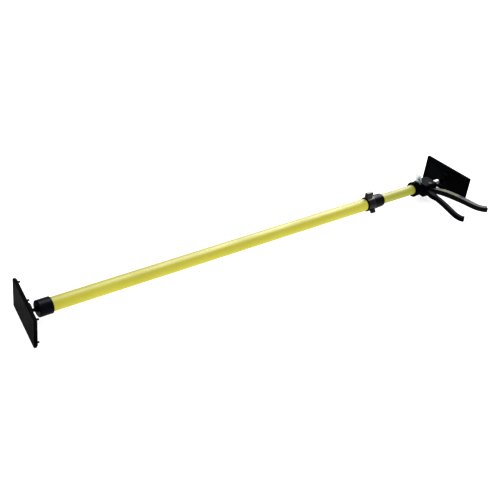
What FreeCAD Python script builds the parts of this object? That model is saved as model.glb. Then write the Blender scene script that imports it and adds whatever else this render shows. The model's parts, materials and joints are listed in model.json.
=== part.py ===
import FreeCAD, Part
import math
import os

# Drywall support prop, lying along +X.  Millimetres.
# x = 0 is the contact face of the foot pad, the pole's axis is y = z = 0,
# the pump's levers reach towards -Y and +Z is up.

V = FreeCAD.Vector
doc = FreeCAD.newDocument("prop")
sheet = doc.addObject("Spreadsheet::Sheet", "Sizes")
SIZES = [
    # pads
    ("pad_long", 141.0), ("pad_tall", 68.5), ("rubber_thick", 6.0),
    ("plate_thick", 2.0), ("plate_inset", 2.0), ("pad_corner", 2.6),
    ("peg_radius", 2.2), ("peg_head", 3.0), ("peg_tip", 1.4), ("peg_height", 2.6), ("peg_tail", 1.9), ("peg_length", 5.0),
    ("peg_y", 61.5), ("peg_z", 28.2), ("hip_top", 3.6), ("hip_half_y", 19.5), ("hip_half_z", 18.8), ("hip_inset", 9.0),
    # ball joints
    ("ball_offset", 13.5), ("ball_radius", 6.5), ("liner_inner", 6.55),
    ("liner_outer", 8.0), ("liner_reach", 2.7), ("socket_inner", 8.05),
    ("socket_outer", 17.6), ("socket_foot", 18.6), ("socket_reach", 3.0),
    ("neck_radius", 3.5), ("shoulder_radius", 6.2), ("shoulder_thick", 2.2),
    # foot end of the pole
    ("cap_start", 28.6), ("cap_end", 57.6), ("cap_radius", 17.8),
    ("stud_hole", 5.0), ("stud_radius", 4.95), ("plug_end", 52.0),
    ("nut_start", 52.3), ("nut_height", 7.0), ("nut_circum", 8.66), ("stud_end", 60.5),
    # tubes
    ("outer_radius", 15.0), ("outer_bore", 13.2), ("outer_start", 34.0), ("outer_end", 913.0),
    ("inner_radius", 12.5), ("inner_bore", 11.0), ("inner_start", 70.0), ("inner_end", 1072.5),
    ("guide_start", 63.0), ("guide_radius", 13.15), ("guide_hole", 6.0), ("guide_spigot", 18.0),
    # collar
    ("collar_start", 896.0), ("collar_sleeve", 15.8), ("collar_seat", 922.4),
    ("collar_shoulder", 17.5), ("shoulder_end", 925.0), ("nose_start_radius", 17.4),
    ("nose_end_radius", 16.2), ("nose_end", 950.5), ("nose_bore", 12.9),
    ("collet_start", 929.0), ("collet_length", 17.6), ("collet_pocket", 14.1),
    ("collet_outer", 14.05), ("collet_inner", 12.55), ("collet_slit", 2.0),
    ("ring_start", 898.6), ("ring_length", 23.4), ("ring_bore", 15.88), ("ring_radius", 17.7),
    ("wing_reach", 32.8), ("wing_half", 5.2), ("wing_length", 20.4), ("wing_shift", -5.0), ("wing_clear", 19.0), ("lug_reach", 22.0), ("lug_half", 4.0), ("lug_length", 14.0), ("lug_shift", 3.0),
    ("snap_start", 896.8), ("snap_thick", 1.4), ("snap_inner", 15.3), ("snap_outer", 16.7),
    ("rib_count", 7.0), ("rib_depth", 0.42), ("rib_step", 2.9),
    # pump body
    ("body_start", 1061.0), ("body_radius", 18.2), ("lip_radius", 18.9), ("lip_length", 3.0),
    ("house_start", 1082.5), ("house_end", 1124.5), ("house_low", -25.0), ("house_high", 19.0),
    ("house_half", 16.5), ("house_round", 6.0), ("house_back_round", 10.0),
    ("bay_start", 1091.5), ("bay_end", 1120.5), ("bay_high", 13.5), ("bay_half", 12.7),
    ("slot_start", 1074.5), ("slot_end", 1084.0), ("slot_half", 9.5), ("slot_floor", -13.5),
    ("rod_hole", 6.4), ("rivet_x", 1068.6), ("rivet_radius", 2.0), ("rivet_head", 3.6), ("rivet_dome", 1.3),
    ("handle_half", 5.8), ("handle_round", 2.6),
    # trigger and drive
    ("pivot_x", 1103.5), ("pivot_y", -17.5), ("pin_radius", 2.95), ("pin_bore", 3.0),
    ("hub_radius", 7.4), ("hub_half", 12.2), ("trigger_half", 6.2), ("trigger_round", 2.0),
    ("nose_forward", 2.5), ("nose_radius", 3.2), ("prong_inner", 7.4), ("prong_thick", 4.4),
    ("pin_reach", 17.6), ("pin_head", 5.0), ("pin_head_thick", 1.8), ("clip_radius", 4.6), ("clip_thick", 1.0),
    ("drive_start", 1109.5), ("drive_thick", 2.6), ("drive_half", 11.6), ("drive_hole", 6.6),
    ("spring_mid", 8.6), ("spring_wire", 0.55),
    # release lever
    ("release_start", 1075.8), ("release_thick", 3.0), ("release_half", 9.0), ("release_foot", -12.8),
    ("release_bend", 24.0), ("release_tip_x", 1068.5), ("release_tip_z", 45.0), ("release_hole", 6.7),
    ("brake_mid", 7.8), ("brake_wire", 0.55),
    # rod and head
    ("rod_radius", 6.0), ("rod_start", 902.5), ("rod_end", 1155.5), ("rod_socket", 4.0),
    ("rod_socket_depth", 20.0), ("head_shank", 3.95), ("head_collar", 8.4), ("head_collar_length", 11.5), ("stop_start", 904.5), ("stop_length", 6.0), ("stop_radius", 10.0),
    ("bush_bore", 6.05), ("bush_radius", 8.0), ("bush_flange", 9.2), ("bush_flange_thick", 3.0),
    ("head_face", 1191.2), ("gap", 0.3), ("foot_shift", 0.158), ("foot_yaw", -8.73), ("head_yaw", 4.08),
    ("strip_thick", 0.5),
]
for i, (alias, value) in enumerate(SIZES):
    cell = "B%d" % (i + 1)
    sheet.set("A%d" % (i + 1), alias)
    sheet.set(cell, "%g" % value)
    sheet.setAlias(cell, alias)
doc.recompute()
S = dict((a, float(sheet.get(a))) for a, _ in SIZES)

ALONG_X = FreeCAD.Rotation(V(0, 1, 0), 90)
BACK_X = FreeCAD.Rotation(V(0, 1, 0), -90)
FLAT = FreeCAD.Rotation()
count = [0]
NODES = []


def named(kind, hint):
    count[0] += 1
    return doc.addObject(kind, "%s_%d" % (hint, count[0]))


def bind(obj, **props):
    for key, text in props.items():
        obj.setExpression(key.replace("__", "."), text.replace("@", "Sizes."))
    return obj


def place(obj, x="0", y="0", z="0", turn=FLAT):
    obj.Placement = FreeCAD.Placement(V(0, 0, 0), turn)
    for axis, text in (("x", x), ("y", y), ("z", z)):
        obj.setExpression("Placement.Base." + axis, text.replace("@", "Sizes."))
    return obj


def rod_x(radius, start, end, turn=ALONG_X):
    c = named("Part::Cylinder", "cyl")
    bind(c, Radius=radius, Height="(%s) - (%s)" % (end, start))
    return place(c, start, turn=turn)


def post_z(radius, x, y, low, high):
    c = named("Part::Cylinder", "post")
    bind(c, Radius=radius, Height="(%s) - (%s)" % (high, low))
    return place(c, x, y, low)


def cone_x(r1, r2, start, end):
    c = named("Part::Cone", "cone")
    bind(c, Radius1=r1, Radius2=r2, Height="(%s) - (%s)" % (end, start))
    return place(c, start, turn=ALONG_X)


def ball(radius, x, turn=FLAT):
    return place(bind(named("Part::Sphere", "ball"), Radius=radius), x, turn=turn)


def block(x0, x1, y0, y1, z0, z1):
    b = named("Part::Box", "block")
    bind(b, Length="(%s) - (%s)" % (x1, x0), Width="(%s) - (%s)" % (y1, y0), Height="(%s) - (%s)" % (z1, z0))
    return place(b, x0, y0, z0)


def fuse(*items):
    f = named("Part::MultiFuse", "sum")
    f.Shapes = list(items)
    f.Refine = True
    return f


def cut(base, *tools):
    c = named("Part::Cut", "cut")
    c.Base = base
    c.Tool = tools[0] if len(tools) == 1 else fuse(*tools)
    return c


def rounded(base, radius, pick):
    doc.recompute()
    f = named("Part::Fillet", "round")
    f.Base = base
    f.Edges = [(i + 1, radius, radius) for i, e in enumerate(base.Shape.Edges) if pick(e)]
    doc.recompute()
    return f


def node(obj, label):
    obj.Label = label
    NODES.append((obj, label))
    return obj


def flat(e, axis, value, tol=1e-4):
    b = e.BoundBox
    lo, hi = {"x": (b.XMin, b.XMax), "y": (b.YMin, b.YMax), "z": (b.ZMin, b.ZMax)}[axis]
    return abs(lo - value) < tol and abs(hi - value) < tol


def along(e, axis):
    if e.Curve.TypeId != "Part::GeomLine":
        return False
    d = e.Vertexes[-1].Point - e.Vertexes[0].Point
    d.normalize()
    return abs(abs({"x": d.x, "y": d.y, "z": d.z}[axis]) - 1) < 1e-6


def spring(mid, wire, start, length, turns, turn=ALONG_X):
    h = named("Part::Helix", "coil")
    bind(h, Radius=mid, Height="(%s) - 2 * (%s)" % (length, wire), Pitch="((%s) - 2 * (%s)) / %g" % (length, wire, turns))
    h.SegmentLength = 0.25
    c = named("Part::Circle", "wire")
    bind(c, Radius=wire)
    c.Placement = FreeCAD.Placement(V(0, 0, 0), FreeCAD.Rotation(V(1, 0, 0), 90))
    c.setExpression("Placement.Base.x", mid.replace("@", "Sizes."))
    doc.recompute()
    s = named("Part::Sweep", "spring")
    s.Sections = [c]
    s.Spine = (h, [])
    s.Solid = True
    s.Frenet = True
    return place(s, "(%s) + (%s)" % (start, wire), turn=turn)


def plane_of(body, role):
    return [o for o in body.Origin.OriginFeatures if o.Role == role][0]


def outline_body(label, role, curves, length, rounds=None, plane_z=None):
    """A padded outline, symmetric about its sketch plane."""
    body = doc.addObject("PartDesign::Body", label + "_body")
    sk = body.newObject("Sketcher::SketchObject", label + "_outline")
    sk.AttachmentSupport = [(plane_of(body, role), "")]
    sk.MapMode = "FlatFace"
    for c in curves:
        sk.addGeometry(c, False)
    doc.recompute()
    pad = body.newObject("PartDesign::Pad", label + "_pad")
    pad.Profile = sk
    pad.SideType = "Symmetric"
    pad.setExpression("Length", length.replace("@", "Sizes."))
    doc.recompute()
    if rounds:
        radius, pick = rounds
        names = ["Edge%d" % (i + 1) for i, e in enumerate(pad.Shape.Edges) if pick(e)]
        fil = body.newObject("PartDesign::Fillet", label + "_round")
        fil.Base = (pad, names)
        fil.setExpression("Radius", radius.replace("@", "Sizes."))
        doc.recompute()
        body.Tip = fil
    sk.Visibility = False
    return body


def ribbon(points, widths):
    """Two smooth edges either side of a centre line, closed by straight ends."""
    left, right = [], []
    for i, (p, w) in enumerate(zip(points, widths)):
        a = points[max(i - 1, 0)]
        b = points[min(i + 1, len(points) - 1)]
        dx, dy = b[0] - a[0], b[1] - a[1]
        n = math.hypot(dx, dy)
        left.append(V(p[0] - dy / n * w / 2, p[1] + dx / n * w / 2, 0))
        right.append(V(p[0] + dy / n * w / 2, p[1] - dx / n * w / 2, 0))
    one = Part.BSplineCurve()
    one.interpolate(left)
    two = Part.BSplineCurve()
    two.interpolate(right)
    return [one, Part.LineSegment(left[-1], right[-1]), two, Part.LineSegment(right[0], left[0])]


def polygon(points):
    pts = [V(p[0], p[1], 0) for p in points]
    return [Part.LineSegment(a, b) for a, b in zip(pts, pts[1:] + pts[:1])]


# ---------------------------------------------------------------- pads
def pad_end(which):
    """Rubber, plate, socket, liner and ball stud at one end.
    Positions run from the contact face inwards; side is +1 at the foot and -1 at the head.
    The pad stands turned a little about the upright axis through its ball."""
    side = 1 if which == "foot" else -1

    def at(depth):
        return "@foot_shift + (%s)" % depth if side > 0 else "@head_face - (%s)" % depth

    def span(a, b):
        return (at(a), at(b)) if side > 0 else (at(b), at(a))

    centre = at("@ball_offset")
    ball_x = S["foot_shift"] + S["ball_offset"] if side > 0 else S["head_face"] - S["ball_offset"]
    turned = FreeCAD.Placement(V(0, 0, 0), FreeCAD.Rotation(V(0, 0, 1), S[which + "_yaw"]), V(ball_x, 0, 0))

    def cavity():
        return ball("@socket_inner", centre)

    # rubber pad with its pegs, pulled through the plate
    lo, hi = span("0", "@rubber_thick")
    slab = block(lo, hi, "-@pad_long / 2", "@pad_long / 2", "-@pad_tall / 2", "@pad_tall / 2")
    slab = rounded(slab, S["pad_corner"], lambda e: along(e, "x"))
    face_x = S["foot_shift"] if side > 0 else S["head_face"]
    slab = rounded(slab, 1.2, lambda e: flat(e, "x", face_x))
    pegs = []
    spots = [(y, z) for y in ("-@peg_y", "0", "@peg_y") for z in ("-@peg_z", "@peg_z")]
    for y, z in spots:
        shank = rod_x("@peg_radius", *span("@rubber_thick - 1", "@rubber_thick + @plate_thick + 0.5"))
        head = named("Part::Cone", "peg")
        bind(head, Radius1="@peg_head", Radius2="@peg_tip", Height="@peg_height")
        place(head, at("@rubber_thick + @plate_thick"), turn=ALONG_X if side > 0 else BACK_X)
        tail = rod_x("@peg_tail", *span("@rubber_thick + @plate_thick", "@rubber_thick + @plate_thick + @peg_length"))
        for p in (shank, head, tail):
            p.setExpression("Placement.Base.y", y.replace("@", "Sizes."))
            p.setExpression("Placement.Base.z", z.replace("@", "Sizes."))
        pegs += [shank, head, tail]
    node(cut(fuse(slab, *pegs), cavity()), which + "_rubber_pad").Placement = turned

    # steel plate
    lo, hi = span("@rubber_thick", "@rubber_thick + @plate_thick")
    half_y = "@pad_long / 2 - @plate_inset"
    half_z = "@pad_tall / 2 - @plate_inset"
    sheet_metal = block(lo, hi, "-(%s)" % half_y, half_y, "-(%s)" % half_z, half_z)
    sheet_metal = rounded(sheet_metal, S["pad_corner"] - 0.6, lambda e: along(e, "x"))
    # its back rises in four slopes towards the socket
    hip = named("Part::Wedge", "hip")
    bind(hip, Xmin="-(%s) + @hip_inset" % half_y, Xmax="%s - @hip_inset" % half_y, Zmin="-(%s) + @hip_inset" % half_z, Zmax="%s - @hip_inset" % half_z,
         X2min="-@hip_half_y", X2max="@hip_half_y", Z2min="-@hip_half_z", Z2max="@hip_half_z",
         Ymin="@rubber_thick + @plate_thick - 0.4", Ymax="@rubber_thick + @plate_thick + @hip_top")
    place(hip, "@foot_shift" if side > 0 else "@head_face", turn=FreeCAD.Rotation(V(0, 0, 1), -90 if side > 0 else 90))
    sheet_metal = fuse(sheet_metal, hip)
    holes = []
    for y, z in spots:
        hole = rod_x("@peg_radius", *span("@rubber_thick - 1", "@rubber_thick + @plate_thick + 1"))
        hole.setExpression("Placement.Base.y", y.replace("@", "Sizes."))
        hole.setExpression("Placement.Base.z", z.replace("@", "Sizes."))
        holes.append(hole)
    node(cut(sheet_metal, cavity(), *holes), which + "_plate").Placement = turned

    # turned socket, welded on the plate
    lo, hi = span("@rubber_thick + @plate_thick + @hip_top", "@ball_offset + @socket_reach")
    barrel = rod_x("@socket_outer", lo, hi)
    rim_x = S["ball_offset"] + S["socket_reach"]
    rim_x = S["foot_shift"] + rim_x if side > 0 else S["head_face"] - rim_x
    barrel = rounded(barrel, 3.6, lambda e: flat(e, "x", rim_x))
    lo, hi = span("@rubber_thick + @plate_thick + @hip_top", "@rubber_thick + @plate_thick + @hip_top + 1.2")
    bead = cone_x("@socket_foot" if side > 0 else "@socket_outer", "@socket_outer" if side > 0 else "@socket_foot", lo, hi)
    node(cut(fuse(barrel, bead), ball("@socket_inner", centre, ALONG_X)), which + "_socket").Placement = turned

    # plastic liner
    shell = cut(ball("@liner_outer", centre), ball("@liner_inner", centre))
    lo, hi = span("@ball_offset + @liner_reach", "@ball_offset + 20")
    node(cut(shell, block(lo, hi, "-20", "20", "-20", "20")), which + "_socket_liner")

    # ball stud
    parts = [ball("@ball_radius", centre)]
    if which == "foot":
        parts.append(rod_x("@neck_radius", centre, "@cap_start - @gap"))
        parts.append(rod_x("@shoulder_radius", "@cap_start - @gap - @shoulder_thick", "@cap_start - @gap"))
        parts.append(rod_x("@stud_radius", "@cap_start - @gap", "@stud_end"))
    else:
        parts.append(rod_x("@neck_radius", "@rod_end + @gap", centre))
        parts.append(rounded(rod_x("@head_collar", "@rod_end + @gap", "@rod_end + @gap + @head_collar_length"), 1.5, lambda e: e.Curve.TypeId == "Part::GeomCircle"))
        parts.append(rod_x("@head_shank", "@rod_end - @rod_socket_depth + 1", "@rod_end + @gap"))
    node(fuse(*parts), which + "_ball_stud")


pad_end("foot")
pad_end("head")

# ---------------------------------------------------------------- foot end
cap = rod_x("@cap_radius", "@cap_start", "@cap_end")
cap = rounded(cap, 2.0, lambda e: flat(e, "x", S["cap_start"]))
cap = rounded(cap, 0.8, lambda e: flat(e, "x", S["cap_end"]))
node(cut(cap, rod_x("@outer_radius", "@outer_start", "@cap_end + 1"), rod_x("@stud_hole", "@cap_start - 1", "@outer_start + 1")), "foot_end_cap")
node(cut(rod_x("@outer_bore", "@outer_start", "@plug_end"), rod_x("@stud_hole", "@outer_start - 1", "@plug_end + 1")), "foot_plug")
prism = named("Part::Prism", "hex")
prism.Polygon = 6
bind(prism, Circumradius="@nut_circum", Height="@nut_height")
place(prism, "@nut_start", turn=ALONG_X)
node(cut(prism, rod_x("@stud_radius", "@nut_start - 1", "@nut_start + @nut_height + 1")), "foot_stud_nut")

# ---------------------------------------------------------------- tubes
node(cut(rod_x("@outer_radius", "@outer_start", "@outer_end"), rod_x("@outer_bore", "@outer_start - 1", "@outer_end + 1")), "outer_tube")
node(cut(rod_x("@inner_radius", "@inner_start", "@inner_end"), rod_x("@inner_bore", "@inner_start - 1", "@inner_end + 1")), "inner_tube")
guide = fuse(rod_x("@guide_radius", "@guide_start", "@inner_start"), rod_x("@inner_bore", "@inner_start - 1", "@inner_start + @guide_spigot"))
node(cut(guide, rod_x("@guide_hole", "@guide_start - 1", "@inner_start + @guide_spigot + 1")), "inner_tube_guide")

# ---------------------------------------------------------------- collar
sleeve = rod_x("@collar_sleeve", "@collar_start", "@collar_seat")
shoulder = rounded(rod_x("@collar_shoulder", "@collar_seat", "@shoulder_end"), 1.0, lambda e: flat(e, "x", S["shoulder_end"]))
nose = cone_x("@nose_start_radius", "@nose_end_radius", "@shoulder_end - 0.5", "@nose_end")
nose = rounded(nose, 2.0, lambda e: flat(e, "x", S["nose_end"]))
collar = fuse(sleeve, shoulder, nose)
ribs = []
for i in range(int(S["rib_count"])):
    t = named("Part::Torus", "groove")
    x = "@shoulder_end + %g + %d * @rib_step" % (3.2, i)
    bind(t, Radius1="@nose_start_radius - (@nose_start_radius - @nose_end_radius) * (3.7 + %d * @rib_step) / (@nose_end - @shoulder_end + 0.5)" % i, Radius2="@rib_depth")
    place(t, x, turn=ALONG_X)
    ribs.append(t)
node(cut(collar,
         rod_x("@outer_radius", "@collar_start - 1", "@outer_end"),
         rod_x("@nose_bore", "@outer_end - 1", "@nose_end + 1"),
         rod_x("@collet_pocket", "@collet_start", "@collet_start + @collet_length"),
         cut(rod_x("@collar_sleeve + 2", "@snap_start", "@snap_start + @snap_thick"), rod_x("@snap_inner", "@snap_start - 1", "@snap_start + @snap_thick + 1")),
         *ribs), "collar_nose")
collet = cut(rod_x("@collet_outer", "@collet_start + 0.1", "@collet_start + @collet_length - 0.1"), rod_x("@collet_inner", "@collet_start - 1", "@collet_start + @collet_length + 1"))
node(cut(collet, block("@collet_start - 1", "@collet_start + @collet_length + 1", "-@collet_slit / 2", "@collet_slit / 2", "0", "20")), "collet")
snap = cut(rod_x("@snap_outer", "@snap_start", "@snap_start + @snap_thick"), rod_x("@snap_inner", "@snap_start - 1", "@snap_start + @snap_thick + 1"))
node(cut(snap, block("@snap_start - 1", "@snap_start + @snap_thick + 1", "-20", "0", "-1.5", "1.5")), "collar_snap_ring")
band = rounded(rod_x("@ring_radius", "@ring_start", "@ring_start + @ring_length"), 1.0, lambda e: e.Curve.TypeId == "Part::GeomCircle")
# a thumb knob on top, reaching back over the ring's end, and two shorter grip lugs below
lobes = []
for turn_deg, kind in ((90.0, "wing"), (221.0, "lug"), (319.0, "lug")):
    mid = "@ring_start + @ring_length / 2 + @%s_shift" % kind
    lo = "%s - @%s_length / 2" % (mid, kind)
    hi = "%s + @%s_length / 2" % (mid, kind)
    w = block(lo, hi, "0", "@%s_reach" % kind, "-@%s_half" % kind, "@%s_half" % kind)
    if kind == "wing":
        lobe = rounded(w, 2.8, lambda e: e.BoundBox.YMax > 1.0)
    else:
        tip = rod_x("@lug_half", lo, hi)
        tip.setExpression("Placement.Base.y", "Sizes.lug_reach")
        lobe = fuse(w, tip)
        centre_x = S["ring_start"] + S["ring_length"] / 2 + S["lug_shift"]
        ends = (centre_x - S["lug_length"] / 2, centre_x + S["lug_length"] / 2)
        lobe = rounded(lobe, 3.2, lambda e: (flat(e, "x", ends[0]) or flat(e, "x", ends[1])) and e.BoundBox.YMax > 1.0)
    lobe.Placement = FreeCAD.Placement(V(0, 0, 0), FreeCAD.Rotation(V(1, 0, 0), turn_deg))
    lobes.append(lobe)
ring = cut(fuse(band, *lobes),
           rod_x("@ring_bore", "@ring_start - 8", "@ring_start + @ring_length + 1"),
           rod_x("@wing_clear", "@ring_start - 8", "@ring_start"))
node(ring, "lock_ring")

# ---------------------------------------------------------------- pump body with the fixed handle
barrel = rod_x("@body_radius", "@body_start", "@house_start + 4")
lip = rounded(rod_x("@lip_radius", "@body_start", "@body_start + @lip_length"), 1.2, lambda e: e.Curve.TypeId == "Part::GeomCircle")
house = block("@house_start", "@house_end", "@house_low", "@house_high", "-@house_half", "@house_half")
house = rounded(house, S["house_round"], lambda e: along(e, "x") and e.BoundBox.YMax < 0)
house = rounded(house, S["house_back_round"], lambda e: along(e, "x") and e.BoundBox.YMin > 18.0)
house = rounded(house, 2.0, lambda e: flat(e, "x", S["house_end"]) or flat(e, "x", S["house_start"]))
HANDLE = [(1091.0, -8.0), (1090.8, -26.0), (1089.8, -42.0), (1089.4, -52.0), (1089.5, -59.0), (1088.8, -68.0), (1086.3, -86.0), (1081.8, -107.0), (1076.8, -128.0), (1074.4, -146.0), (1076.0, -155.5), (1081.5, -162.5)]
HANDLE_W = [20.0, 13.0, 16.0, 16.0, 12.6, 11.4, 11.6, 12.0, 12.0, 12.0, 12.0, 12.0]
handle = outline_body("handle", "XY_Plane", ribbon(HANDLE, HANDLE_W), "2 * @handle_half", ("@handle_round", lambda e: not along(e, "z") and e.BoundBox.YMin < -14.0 and not (e.BoundBox.YMin > -20.0)))
handle_link = handle
body = fuse(barrel, lip, house, handle_link)
web_low = rounded(block("@body_start + 13", "@house_start + 3", "-21", "-12", "-6.5", "6.5"), 3.0, lambda e: along(e, "x") and e.BoundBox.YMin < -20.0)
body = fuse(body, web_low)
node(cut(body,
         rod_x("@inner_radius", "@body_start - 1", "@inner_end"),
         rod_x("@rod_hole", "@inner_end - 1", "@bay_start + 1"),
         block("@slot_start", "@slot_end", "-@slot_half", "@slot_half", "@slot_floor", "40"),
         block("@bay_start", "@bay_end", "@house_low - 0.2", "@bay_high", "-@bay_half", "@bay_half"),
         rod_x("@bush_radius", "@bay_end - 1", "@house_end + 1"),
         post_z("@pin_radius", "@pivot_x", "@pivot_y", "-30", "30"),
         place(bind(named("Part::Cylinder", "rivet_hole"), Radius="@rivet_radius", Height="60"), "@rivet_x", "30", "0", turn=FreeCAD.Rotation(V(1, 0, 0), 90)),
         place(bind(named("Part::Cylinder", "spot_face"), Radius="@rivet_head + 0.1", Height="10"), "@rivet_x", "@body_radius - 0.4", "0", turn=FreeCAD.Rotation(V(1, 0, 0), -90)),
         place(bind(named("Part::Cylinder", "spot_face"), Radius="@rivet_head + 0.1", Height="10"), "@rivet_x", "-(@body_radius - 0.4)", "0", turn=FreeCAD.Rotation(V(1, 0, 0), 90))),
     "pump_body")

# two rivets hold the sleeve on the inner tube
rivets = []
for sgn in (1, -1):
    shank = bind(named("Part::Cylinder", "rivet"), Radius="@rivet_radius", Height="@body_radius - @inner_radius")
    head = bind(named("Part::Cone", "rivet_head"), Radius1="@rivet_head", Radius2="@rivet_head - 1.2", Height="@rivet_dome")
    turn = FreeCAD.Rotation(V(1, 0, 0), -90 if sgn > 0 else 90)
    s = "" if sgn > 0 else "-"
    place(shank, "@rivet_x", s + "@inner_radius", "0", turn=turn)
    place(head, "@rivet_x", s + "(@body_radius - 0.4)", "0", turn=turn)
    rivets.append(fuse(shank, head))
rivet_pair = fuse(*rivets)
node(rivet_pair, "sleeve_rivets")

# ---------------------------------------------------------------- trigger
px, py = S["pivot_x"], S["pivot_y"]
TRIGGER = [(px, py), (1115.0, -31.0), (1128.5, -49.0), (1138.5, -73.0), (1144.5, -92.0), (1149.0, -111.0), (1152.6, -129.0), (1157.3, -142.0), (1163.5, -150.0), (1172.5, -156.0)]
TRIGGER_W = [12.0, 13.0, 15.5, 16.2, 16.2, 15.8, 14.8, 13.6, 13.0, 13.0]
blade = outline_body("trigger_blade", "XY_Plane", ribbon(TRIGGER, TRIGGER_W), "2 * @trigger_half", ("@trigger_round", lambda e: not along(e, "z") and e.BoundBox.YMin < -30.0))
hub = post_z("@hub_radius", "@pivot_x", "@pivot_y", "-@hub_half", "@hub_half")
prongs = []
for low, high in (("@prong_inner", "@prong_inner + @prong_thick"), ("-(@prong_inner + @prong_thick)", "-@prong_inner")):
    prongs.append(block("@pivot_x - 3.6", "@pivot_x + @nose_forward", "@pivot_y", "0", low, high))
    prongs.append(post_z("@nose_radius", "@pivot_x + @nose_forward", "0", low, high))
lever = fuse(blade, hub, *prongs)
node(cut(lever, post_z("@pin_bore", "@pivot_x", "@pivot_y", "-30", "30")), "trigger")

# plain strip on the trigger's upper face
STRIP = [(1126.2, -45.5), (1133.5, -60.0), (1138.5, -73.0), (1143.2, -87.5)]
strip = outline_body("strip", "XY_Plane", ribbon(STRIP, [11.6, 12.0, 12.0, 12.0]), "@strip_thick")
strip.Placement = FreeCAD.Placement(V(0, 0, S["trigger_half"] + S["strip_thick"] / 2), FreeCAD.Rotation())
node(strip, "trigger_strip")

pin = fuse(post_z("@pin_radius", "@pivot_x", "@pivot_y", "-@pin_reach - 1", "@house_half"),
           rounded(post_z("@pin_head", "@pivot_x", "@pivot_y", "@house_half", "@house_half + @pin_head_thick"), 0.7, lambda e: flat(e, "z", S["house_half"] + S["pin_head_thick"])))
node(pin, "trigger_pin")
clip = cut(post_z("@clip_radius", "@pivot_x", "@pivot_y", "-@pin_reach + 0.1", "-@pin_reach + 0.1 + @clip_thick"),
           post_z("@pin_radius", "@pivot_x", "@pivot_y", "-40", "0"),
           block("@pivot_x - 1.2", "@pivot_x + 1.2", "@pivot_y - 10", "@pivot_y", "-40", "0"))
node(clip, "trigger_pin_clip")

drive = block("@drive_start", "@drive_start + @drive_thick", "-@drive_half", "@drive_half", "-@drive_half", "@drive_half")
drive = rounded(drive, 2.5, lambda e: along(e, "x"))
node(cut(drive, rod_x("@drive_hole", "@drive_start - 1", "@drive_start + @drive_thick + 1")), "drive_plate")
node(spring("@spring_mid", "@spring_wire", "@drive_start + @drive_thick + 0.05", "@bay_end - @drive_start - @drive_thick - 0.1", 2.3), "drive_spring")

# ---------------------------------------------------------------- release lever
x0, th = S["release_start"], S["release_thick"]
zb, zf = S["release_bend"], S["release_foot"]
tx, tz = S["release_tip_x"], S["release_tip_z"]
dx, dz = tx - x0, tz - zb
n = math.hypot(dx, dz)
ox, oz = dz / n * th, -dx / n * th
shape = [(x0, zf), (x0 + th, zf), (x0 + th, zb + 1.2), (tx + ox, tz + oz), (tx, tz), (x0, zb)]
tab = outline_body("release", "XZ_Plane", polygon(shape), "2 * @release_half")
tab_round = rounded(tab, 6.0, lambda e: e.Curve.TypeId == "Part::GeomLine" and e.BoundBox.YLength < 1e-6 and e.BoundBox.ZMin > tz - 2 and abs(e.Length - th) < 0.2)
node(cut(tab_round, rod_x("@release_hole", "@release_start - 1", "@release_start + @release_thick + 1")), "release_lever")
node(spring("@brake_mid", "@brake_wire", "@release_start + @release_thick + 0.05", "@slot_end - @release_start - @release_thick - 0.1", 1.8), "brake_spring")

# ---------------------------------------------------------------- rod
bush = fuse(rod_x("@bush_radius", "@bay_end", "@house_end + 1"), rounded(rod_x("@bush_flange", "@house_end", "@house_end + @bush_flange_thick"), 1.0, lambda e: flat(e, "x", S["house_end"] + S["bush_flange_thick"])))
node(cut(bush, rod_x("@bush_bore", "@bay_end - 1", "@house_end + @bush_flange_thick + 1")), "rod_guide_bush")
bar = rounded(rod_x("@rod_radius", "@rod_start", "@rod_end"), 0.8, lambda e: e.Curve.TypeId == "Part::GeomCircle")
node(cut(bar, rod_x("@rod_socket", "@rod_end - @rod_socket_depth", "@rod_end + 1")), "push_rod")
node(cut(rod_x("@stop_radius", "@stop_start", "@stop_start + @stop_length"), rod_x("@rod_radius", "@stop_start - 1", "@stop_start + @stop_length + 1")), "rod_stop")

# ---------------------------------------------------------------- write
doc.recompute()
for obj in doc.Objects:
    bad = [s for s in obj.State if s in ("Invalid", "Error")]
    if bad:
        raise RuntimeError("%s (%s): %s" % (obj.Name, obj.Label, bad))
os.makedirs("parts", exist_ok=True)
for obj, label in NODES:
    shape = obj.Shape
    if shape.isNull() or not shape.isValid():
        raise RuntimeError("bad shape: " + label)
    shape.exportStep("parts/%s.step" % label)
    print(label, "solids", len(shape.Solids), "volume %.1f" % shape.Volume, shape.BoundBox)
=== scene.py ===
import json
import math

import bpy
from mathutils import Matrix, Vector


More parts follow.
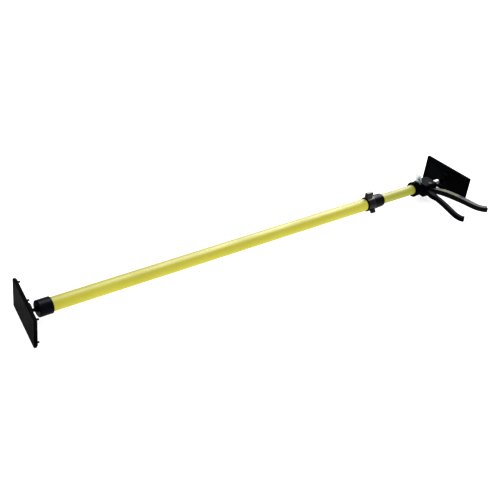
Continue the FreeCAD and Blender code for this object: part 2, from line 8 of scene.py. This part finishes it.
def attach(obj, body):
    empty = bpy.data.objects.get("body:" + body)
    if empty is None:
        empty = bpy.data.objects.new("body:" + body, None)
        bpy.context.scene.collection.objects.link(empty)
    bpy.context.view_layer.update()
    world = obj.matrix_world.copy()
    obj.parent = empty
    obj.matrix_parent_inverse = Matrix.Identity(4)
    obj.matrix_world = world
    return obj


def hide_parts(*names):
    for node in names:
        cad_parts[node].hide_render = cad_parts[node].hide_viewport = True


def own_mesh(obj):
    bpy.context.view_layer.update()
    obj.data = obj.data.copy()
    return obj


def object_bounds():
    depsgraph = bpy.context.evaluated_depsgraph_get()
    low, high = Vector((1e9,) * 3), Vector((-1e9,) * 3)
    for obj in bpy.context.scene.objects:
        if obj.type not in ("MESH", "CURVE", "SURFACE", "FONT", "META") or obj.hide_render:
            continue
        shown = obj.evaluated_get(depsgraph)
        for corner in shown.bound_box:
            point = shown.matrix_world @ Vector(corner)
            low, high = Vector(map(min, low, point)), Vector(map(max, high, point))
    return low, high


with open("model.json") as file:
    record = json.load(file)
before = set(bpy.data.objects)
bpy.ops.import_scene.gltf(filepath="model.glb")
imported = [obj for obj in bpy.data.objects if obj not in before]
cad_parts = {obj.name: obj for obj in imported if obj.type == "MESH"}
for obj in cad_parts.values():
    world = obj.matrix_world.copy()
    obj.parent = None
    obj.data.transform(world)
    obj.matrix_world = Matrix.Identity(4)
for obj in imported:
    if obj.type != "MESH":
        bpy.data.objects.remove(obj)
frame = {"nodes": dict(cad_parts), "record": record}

cad_lo, cad_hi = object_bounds()
nodes = frame["nodes"]
scene = bpy.context.scene


# ------------------------------------------------------------------ materials
def new_material(name):
    m = bpy.data.materials.new(name)
    m.use_nodes = True
    t = m.node_tree
    for n in list(t.nodes):
        t.nodes.remove(n)
    out = t.nodes.new("ShaderNodeOutputMaterial")
    bsdf = t.nodes.new("ShaderNodeBsdfPrincipled")
    t.links.new(bsdf.outputs["BSDF"], out.inputs["Surface"])
    return m, t, bsdf


def noise(t, scale, detail=4.0, rough=0.55, stretch=None, distortion=0.0):
    tc = t.nodes.new("ShaderNodeTexCoord")
    mp = t.nodes.new("ShaderNodeMapping")
    if stretch:
        mp.inputs["Scale"].default_value = stretch
    n = t.nodes.new("ShaderNodeTexNoise")
    n.inputs["Scale"].default_value = scale
    n.inputs["Detail"].default_value = detail
    n.inputs["Roughness"].default_value = rough
    n.inputs["Distortion"].default_value = distortion
    t.links.new(tc.outputs["Object"], mp.inputs["Vector"])
    t.links.new(mp.outputs["Vector"], n.inputs["Vector"])
    return n.outputs["Fac"]


def ramp(t, fac, stops):
    r = t.nodes.new("ShaderNodeValToRGB")
    el = r.color_ramp.elements
    while len(el) > 1:
        el.remove(el[-1])
    el[0].position = stops[0][0]
    el[0].color = (*stops[0][1], 1.0)
    for pos, col in stops[1:]:
        e = el.new(pos)
        e.color = (*col, 1.0)
    t.links.new(fac, r.inputs["Fac"])
    return r.outputs["Color"]


def span(t, fac, low, high, a=0.3, b=0.7):
    m = t.nodes.new("ShaderNodeMapRange")
    m.inputs["From Min"].default_value = a
    m.inputs["From Max"].default_value = b
    m.inputs["To Min"].default_value = low
    m.inputs["To Max"].default_value = high
    t.links.new(fac, m.inputs["Value"])
    return m.outputs["Result"]


def bump(t, bsdf, fac, distance, strength=0.5):
    b = t.nodes.new("ShaderNodeBump")
    b.inputs["Strength"].default_value = strength
    b.inputs["Distance"].default_value = distance
    t.links.new(fac, b.inputs["Height"])
    t.links.new(b.outputs["Normal"], bsdf.inputs["Normal"])
    return b


def mixed(t, fac, a, b):
    m = t.nodes.new("ShaderNodeMix")
    m.data_type = "RGBA"
    t.links.new(fac, m.inputs["Factor"])
    for value, key in ((a, 6), (b, 7)):
        if isinstance(value, tuple):
            m.inputs[key].default_value = (*value, 1.0)
        else:
            t.links.new(value, m.inputs[key])
    return m.outputs[2]


def edge_mask(t, radius, breakup):
    """1 on sharp edges, 0 elsewhere, broken up by a fine noise."""
    geo = t.nodes.new("ShaderNodeNewGeometry")
    bev = t.nodes.new("ShaderNodeBevel")
    bev.samples = 6
    bev.inputs["Radius"].default_value = radius
    dot = t.nodes.new("ShaderNodeVectorMath")
    dot.operation = "DOT_PRODUCT"
    t.links.new(bev.outputs["Normal"], dot.inputs[0])
    t.links.new(geo.outputs["Normal"], dot.inputs[1])
    edge = span(t, dot.outputs["Value"], 1.0, 0.0, 0.86, 0.99)
    times = t.nodes.new("ShaderNodeMath")
    times.operation = "MULTIPLY"
    t.links.new(edge, times.inputs[0])
    t.links.new(span(t, noise(t, breakup, 5.0, 0.6), 0.0, 1.0, 0.35, 0.65), times.inputs[1])
    return times.outputs["Value"], bev.outputs["Normal"]


def tube_paint(name, tones, wear_and_highlight_tone):
    """Sprayed enamel: slight tone clouds, long scuffs, fine orange peel."""
    m, t, p = new_material(name)
    tone = ramp(t, noise(t, 9.0, 5.0), [(0.25, tones[0]), (0.55, tones[1]), (0.8, tones[2])])
    scuff = noise(t, 38.0, 6.0, 0.65, stretch=(0.10, 1.0, 1.0), distortion=0.6)
    mask = span(t, scuff, 0.0, 0.42, 0.66, 0.80)
    t.links.new(mixed(t, mask, tone, wear_and_highlight_tone), p.inputs["Base Color"])
    t.links.new(span(t, noise(t, 60.0, 5.0, 0.6, stretch=(0.2, 1.0, 1.0)), 0.40, 0.55), p.inputs["Roughness"])
    p.inputs["Specular IOR Level"].default_value = 0.5
    bump(t, p, noise(t, 420.0, 3.0), 0.0002, 0.12)
    return m


def black_look(name, low, high, r0, r1, grain, depth, coat=0.0, level=0.3, wear_and_highlight_tone=(0.02, 0.021, 0.024)):
    m, t, p = new_material(name)
    tone = ramp(t, noise(t, 34.0, 5.0), [(0.3, low), (0.7, high)])
    mask, edge_normal = edge_mask(t, 0.0007, 260.0)
    # edges get a lighter tone: worn paint, and on the cast pump body a painted highlight along edges that catch the
    # light
    t.links.new(mixed(t, mask, tone, wear_and_highlight_tone), p.inputs["Base Color"])
    t.links.new(span(t, noise(t, 75.0, 5.0, 0.6), r0, r1), p.inputs["Roughness"])
    p.inputs["Specular IOR Level"].default_value = level
    p.inputs["Coat Weight"].default_value = coat
    p.inputs["Coat Roughness"].default_value = 0.18
    t.links.new(edge_normal, bump(t, p, noise(t, grain, 4.0), depth, 0.35).inputs["Normal"])
    return m


def metal_look(name, low, high, r0, r1, stretch, scale=260.0):
    m, t, p = new_material(name)
    lines = noise(t, scale, 6.0, 0.6, stretch=stretch)
    t.links.new(ramp(t, lines, [(0.3, low), (0.7, high)]), p.inputs["Base Color"])
    t.links.new(span(t, lines, r0, r1), p.inputs["Roughness"])
    p.inputs["Metallic"].default_value = 1.0
    bump(t, p, lines, 0.00008, 0.25)
    return m


def zinc_look():
    m, t, p = new_material("zinc_look")
    tc = t.nodes.new("ShaderNodeTexCoord")
    v = t.nodes.new("ShaderNodeTexVoronoi")
    v.inputs["Scale"].default_value = 210.0
    t.links.new(tc.outputs["Object"], v.inputs["Vector"])
    cloud = noise(t, 55.0, 5.0)
    tone = ramp(t, cloud, [(0.3, (0.66, 0.71, 0.71)), (0.7, (0.82, 0.88, 0.88))])
    t.links.new(tone, p.inputs["Base Color"])
    t.links.new(span(t, v.outputs["Distance"], 0.34, 0.50, 0.1, 0.7), p.inputs["Roughness"])
    p.inputs["Metallic"].default_value = 1.0
    bump(t, p, v.outputs["Distance"], 0.00006, 0.2)
    return m


def strip_look():
    m, t, p = new_material("strip_look")
    t.links.new(ramp(t, noise(t, 70.0, 4.0), [(0.3, (0.094, 0.100, 0.036)), (0.7, (0.122, 0.129, 0.052))]), p.inputs["Base Color"])
    t.links.new(span(t, noise(t, 160.0, 4.0), 0.34, 0.48), p.inputs["Roughness"])
    p.inputs["Specular IOR Level"].default_value = 0.14
    bump(t, p, noise(t, 600.0, 3.0), 0.0001, 0.15)
    return m


LOOKS = {
    "yellow_paint": tube_paint("yellow_paint_look", [(0.492, 0.464, 0.052), (0.525, 0.495, 0.060), (0.558, 0.527, 0.070)], (0.42, 0.39, 0.08)),
    "black_plastic": black_look("black_plastic_look", (0.0014, 0.0017, 0.0056), (0.0034, 0.0038, 0.0104), 0.26, 0.38, 900.0, 0.00015, level=0.095),
    "black_nylon": black_look("black_nylon_look", (0.0012, 0.0015, 0.0028), (0.0028, 0.0033, 0.0054), 0.24, 0.36, 700.0, 0.00015, level=0.11),
    "black_paint": black_look("black_paint_look", (0.0012, 0.0015, 0.0024), (0.0028, 0.0033, 0.0048), 0.26, 0.38, 420.0, 0.00012, level=0.04, wear_and_highlight_tone=(0.012, 0.013, 0.015)),
    "rubber": black_look("rubber_look", (0.0012, 0.0014, 0.0020), (0.0125, 0.0130, 0.0145), 0.50, 0.66, 520.0, 0.0003, level=0.022, wear_and_highlight_tone=(0.009, 0.009, 0.010)),
    "steel": metal_look("steel_look", (0.30, 0.31, 0.335), (0.44, 0.455, 0.48), 0.46, 0.60, (0.06, 1.0, 1.0)),
    "zinc": zinc_look(),
    "liner": black_look("liner_look", (0.016, 0.016, 0.017), (0.026, 0.026, 0.027), 0.42, 0.55, 800.0, 0.00015, level=0.15),
    "strip": strip_look(),
}
# pieces whose finish differs a little from the rest of their slot
OWN = {
    "rod_guide_bush": metal_look("bush_look", (0.10, 0.105, 0.115), (0.17, 0.175, 0.19), 0.5, 0.64, (1.0, 1.0, 1.0)),
    "trigger_pin": metal_look("pin_look", (0.010, 0.011, 0.013), (0.022, 0.023, 0.026), 0.42, 0.58, (1.0, 1.0, 1.0)),
    "inner_tube": tube_paint("inner_paint_look", [(0.372, 0.376, 0.054), (0.398, 0.403, 0.062), (0.426, 0.431, 0.072)], (0.33, 0.33, 0.07)),
    # the cast body's bright edge tone is a painted highlight along its housing edges, partly worn paint
    "pump_body": black_look("cast_body_look", (0.0014, 0.0016, 0.0034), (0.0030, 0.0033, 0.0062), 0.36, 0.50, 620.0, 0.0003, level=0.022, wear_and_highlight_tone=(0.05, 0.052, 0.06)),
    "collar_nose": black_look("collar_look", (0.0010, 0.0016, 0.0032), (0.0022, 0.0032, 0.0058), 0.20, 0.30, 800.0, 0.00015, level=0.15),
    "lock_ring": black_look("ring_look", (0.0006, 0.0010, 0.0024), (0.0014, 0.0022, 0.0044), 0.16, 0.25, 800.0, 0.00015, level=0.36),
}
for entry in frame["record"]["subparts"]:
    ob = nodes[entry["node"]]
    ob.data.materials.clear()
    ob.data.materials.append(OWN.get(entry["node"], LOOKS[entry["material_slot"]]))

# ------------------------------------------------------------------ springs
# each spring is shown by its own copy of the mesh, fixed to the inner body, and the rigid solid is hidden
for node, joint, seat, keep in (("drive_spring", "drive_slide", 1.1205, 0.37), ("brake_spring", "release_press", 1.0840, 0.62)):
    coil = bpy.data.objects.new(node + "_coil", nodes[node].data.copy())
    scene.collection.objects.link(coil)
    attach(coil, "inner")
    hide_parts(node)
    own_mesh(coil)

# ------------------------------------------------------------------ floor
bpy.ops.mesh.primitive_plane_add(size=12.0, location=(0.55, 0.0, cad_lo.z))
floor = bpy.context.object
floor.name = "floor"
fm, ft, fp = new_material("floor_look")
ft.links.new(ramp(ft, noise(ft, 1.4, 3.0), [(0.3, (0.88, 0.88, 0.88)), (0.7, (0.92, 0.92, 0.92))]), fp.inputs["Base Color"])
fp.inputs["Emission Color"].default_value = (1.0, 1.0, 1.0, 1.0)
fp.inputs["Emission Strength"].default_value = 0.42
fp.inputs["Roughness"].default_value = 0.9
floor.data.materials.append(fm)

# ------------------------------------------------------------------ light
world = bpy.data.worlds.new("studio")
scene.world = world
world.use_nodes = True
bg = world.node_tree.nodes["Background"]
bg.inputs["Color"].default_value = (1.0, 1.0, 1.0, 1.0)
bg.inputs["Strength"].default_value = 0.7
scene.view_settings.view_transform = "Standard"
scene.view_settings.look = "High Contrast"


def softbox(name, loc, aim, size, power):
    data = bpy.data.lights.new(name, "AREA")
    data.shape = "RECTANGLE"
    data.size, data.size_y = size
    data.energy = power
    ob = bpy.data.objects.new(name, data)
    scene.collection.objects.link(ob)
    ob.location = loc
    ob.rotation_mode = "QUATERNION"
    ob.rotation_quaternion = (Vector(aim) - Vector(loc)).to_track_quat("-Z", "Y")
    return ob


# the box only makes the highlights; the even dome and the floor light the colours
box = softbox("key", (1.7, 0.7, 1.6), (0.7, 0.0, 0.0), (2.0, 2.6), 112.0)
box.visible_diffuse = False

# ------------------------------------------------------------------ camera
cam_data = bpy.data.cameras.new("camera")
cam = bpy.data.objects.new("camera", cam_data)
scene.collection.objects.link(cam)
scene.camera = cam
cam_data.sensor_width = 36.0
cam_data.lens = 932.973 / 500.0 * 36.0
cam_data.clip_start, cam_data.clip_end = 0.01, 100.0
right = Vector((0.80194493, -0.58653471, 0.11340795))
up = Vector((0.26043513, 0.51409728, 0.81723775))
back = -Vector((0.53764102, 0.62584425, -0.56503195))
turn = Matrix((right, up, back)).transposed()
cam.matrix_world = Matrix.Translation(Vector((-0.58649164, -1.32347642, 1.16939969))) @ turn.to_4x4()
